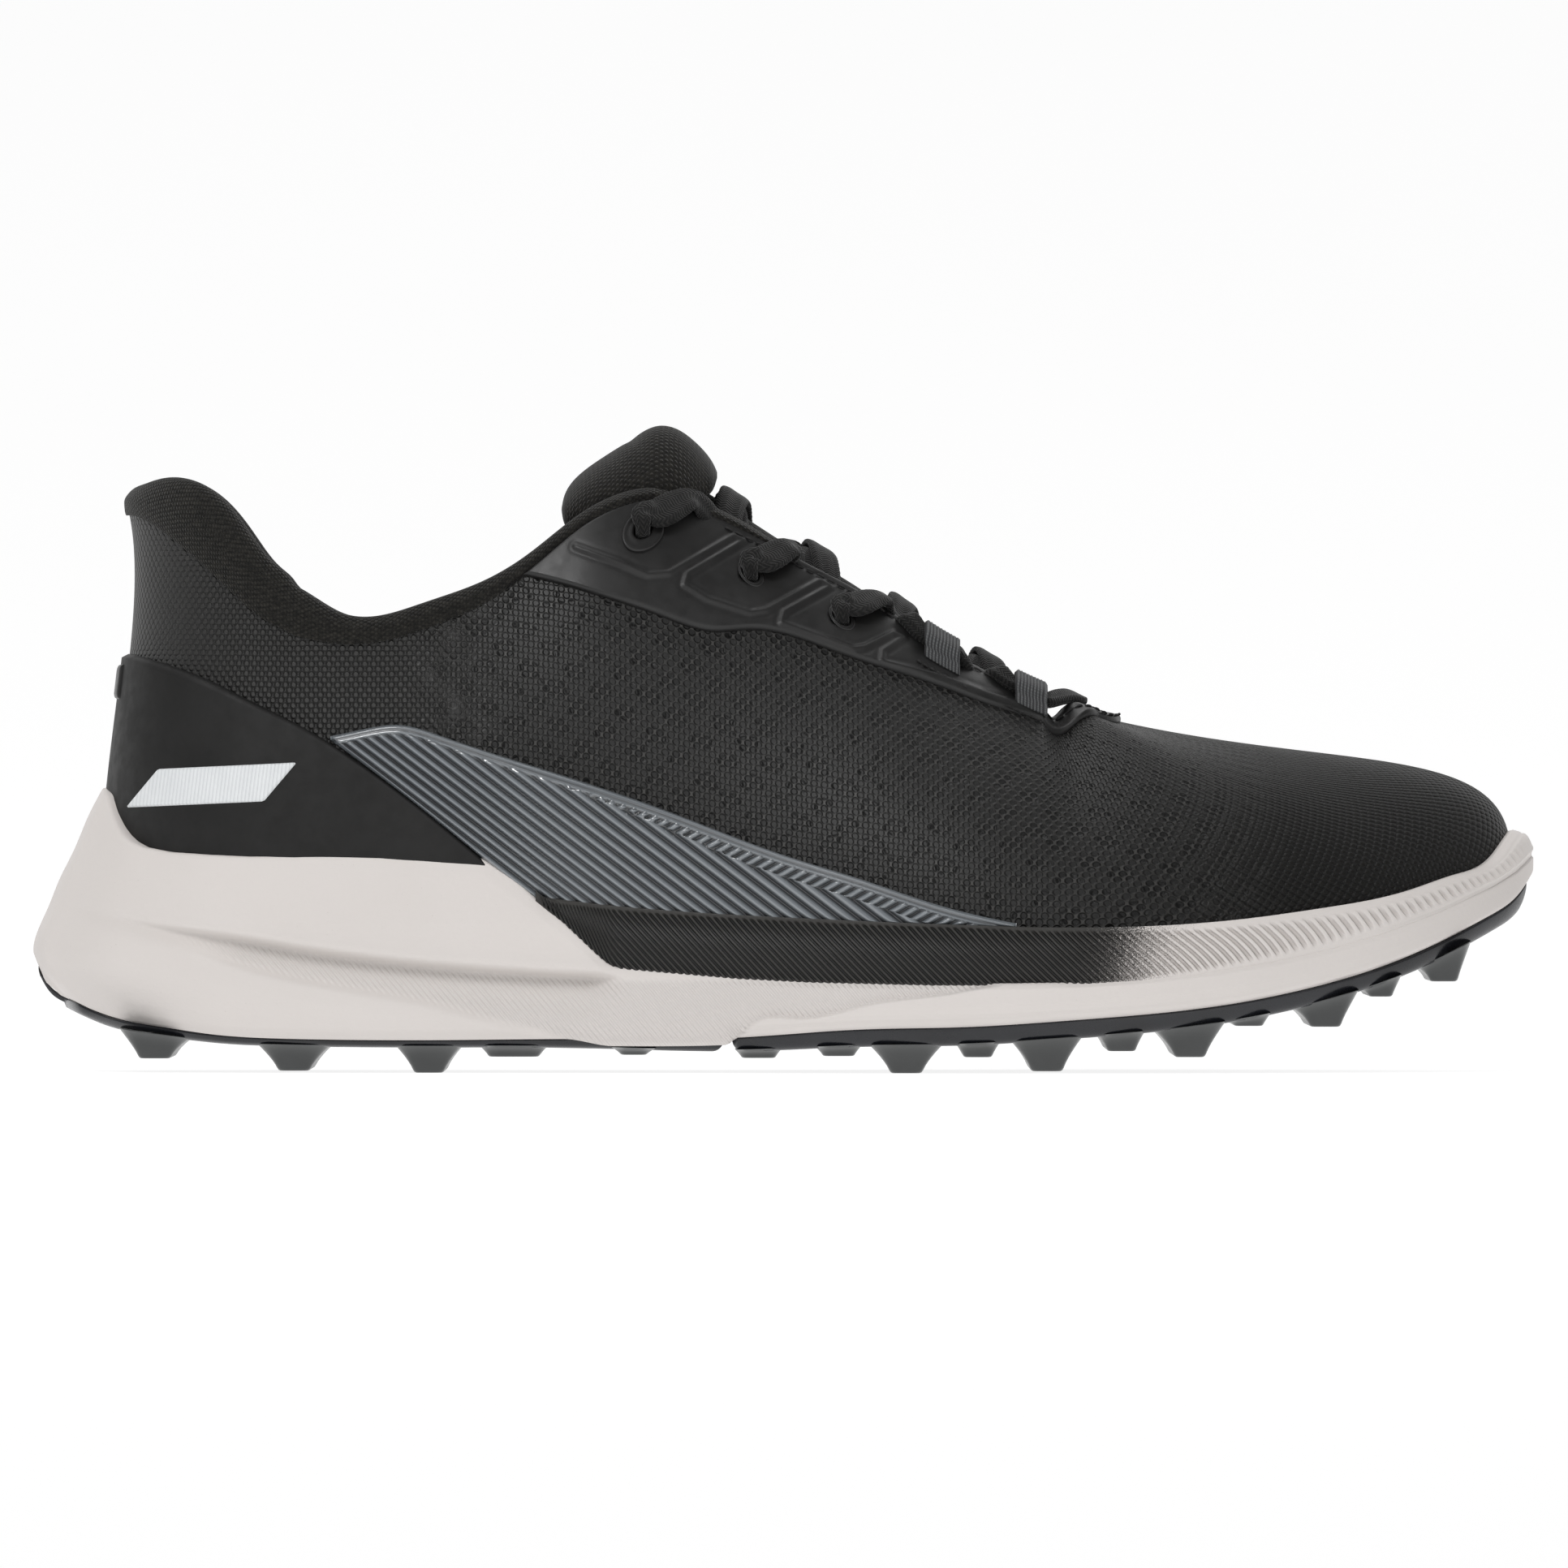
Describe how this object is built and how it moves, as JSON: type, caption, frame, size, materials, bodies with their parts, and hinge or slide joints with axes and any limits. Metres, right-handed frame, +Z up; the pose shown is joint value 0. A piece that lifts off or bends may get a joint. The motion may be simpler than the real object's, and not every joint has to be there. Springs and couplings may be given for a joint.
{
  "type": "golf shoe",
  "caption": "Low spikeless slip-in golf shoe for the right foot, with a mesh upper, padded knit collar, laced tongue, side wings, ribbed rail, foam midsole and lugged outsole.",
  "frame": {"origin": "on the ground under the middle of the shoe's box, where the lowest lugs stand", "axes": "+X towards the toe, +Y towards the inner side of the foot, +Z up"},
  "size_m": [0.302, 0.1084, 0.13],
  "materials": {
    "knit": "black heathered knit",
    "lining_cloth": "black spacer lining",
    "eyestay_film": "smooth satin black film",
    "outsole_rubber": "near-black glossy plate with smoky lugs",
    "stiffener": "plain stiffener sheet",
    "heel_overlay_tpu": "matte dark film overlay",
    "overlay_trim": "black raised trim",
    "lace_knit": "black knitted flat lace",
    "webbing": "grey woven webbing",
    "midsole_foam": "warm off-white moulded foam skin",
    "wing_tpu": "ribbed blue grey translucent moulding",
    "rail_tpu": "ribbed black moulding fading to off-white",
    "sock_cloth": "black brushed sockliner cloth",
    "foam": "open cell foam",
    "board": "non-woven strobel board",
    "mesh_upper": "black engineered mesh with honeycomb dimples"
  },
  "bodies": {
    "shoe": {"collar_foam": "knit", "collar_lining": "lining_cloth", "eyelet_ring_lateral": "eyestay_film", "eyelet_ring_medial": "eyestay_film", "eyestay": "eyestay_film", "forefoot_outsole": "outsole_rubber", "heel_counter": "stiffener", "heel_outsole": "outsole_rubber", "heel_overlay": "heel_overlay_tpu", "heel_tab": "overlay_trim", "lace": "lace_knit", "lace_loop_lateral_front": "webbing", "lace_loop_lateral_rear": "webbing", "lace_loop_medial_front": "webbing", "lace_loop_medial_rear": "webbing", "midsole": "midsole_foam", "side_wing_lateral": "wing_tpu", "side_wing_medial": "wing_tpu", "sidewall_rail": "rail_tpu", "strobel_board": "board", "toe_puff": "stiffener", "upper_shell": "mesh_upper", "vamp_lining": "lining_cloth"},
    "tongue": {"tongue_foam": "foam", "tongue_face": "eyestay_film", "tongue_lining": "lining_cloth", "tongue_pad": "knit"},
    "sockliner": {"sockliner_foam": "foam", "sockliner_cloth": "sock_cloth"}
  },
  "joints": [
    {"name": "tongue_pivot", "type": "hinge", "parent": "shoe", "child": "tongue", "pos_m": [0.05, 0, 0.0745], "axis": [0, 1, 0], "range_deg": [-4, 0], "stiffness_Nm_per_rad": 0.3, "springref_deg": 14.32},
    {"name": "sockliner_lift", "type": "hinge", "parent": "shoe", "child": "sockliner", "pos_m": [0.138, 0.004, 0.04], "axis": [0, 1, 0], "range_deg": [0, 2.8]}
  ]
}
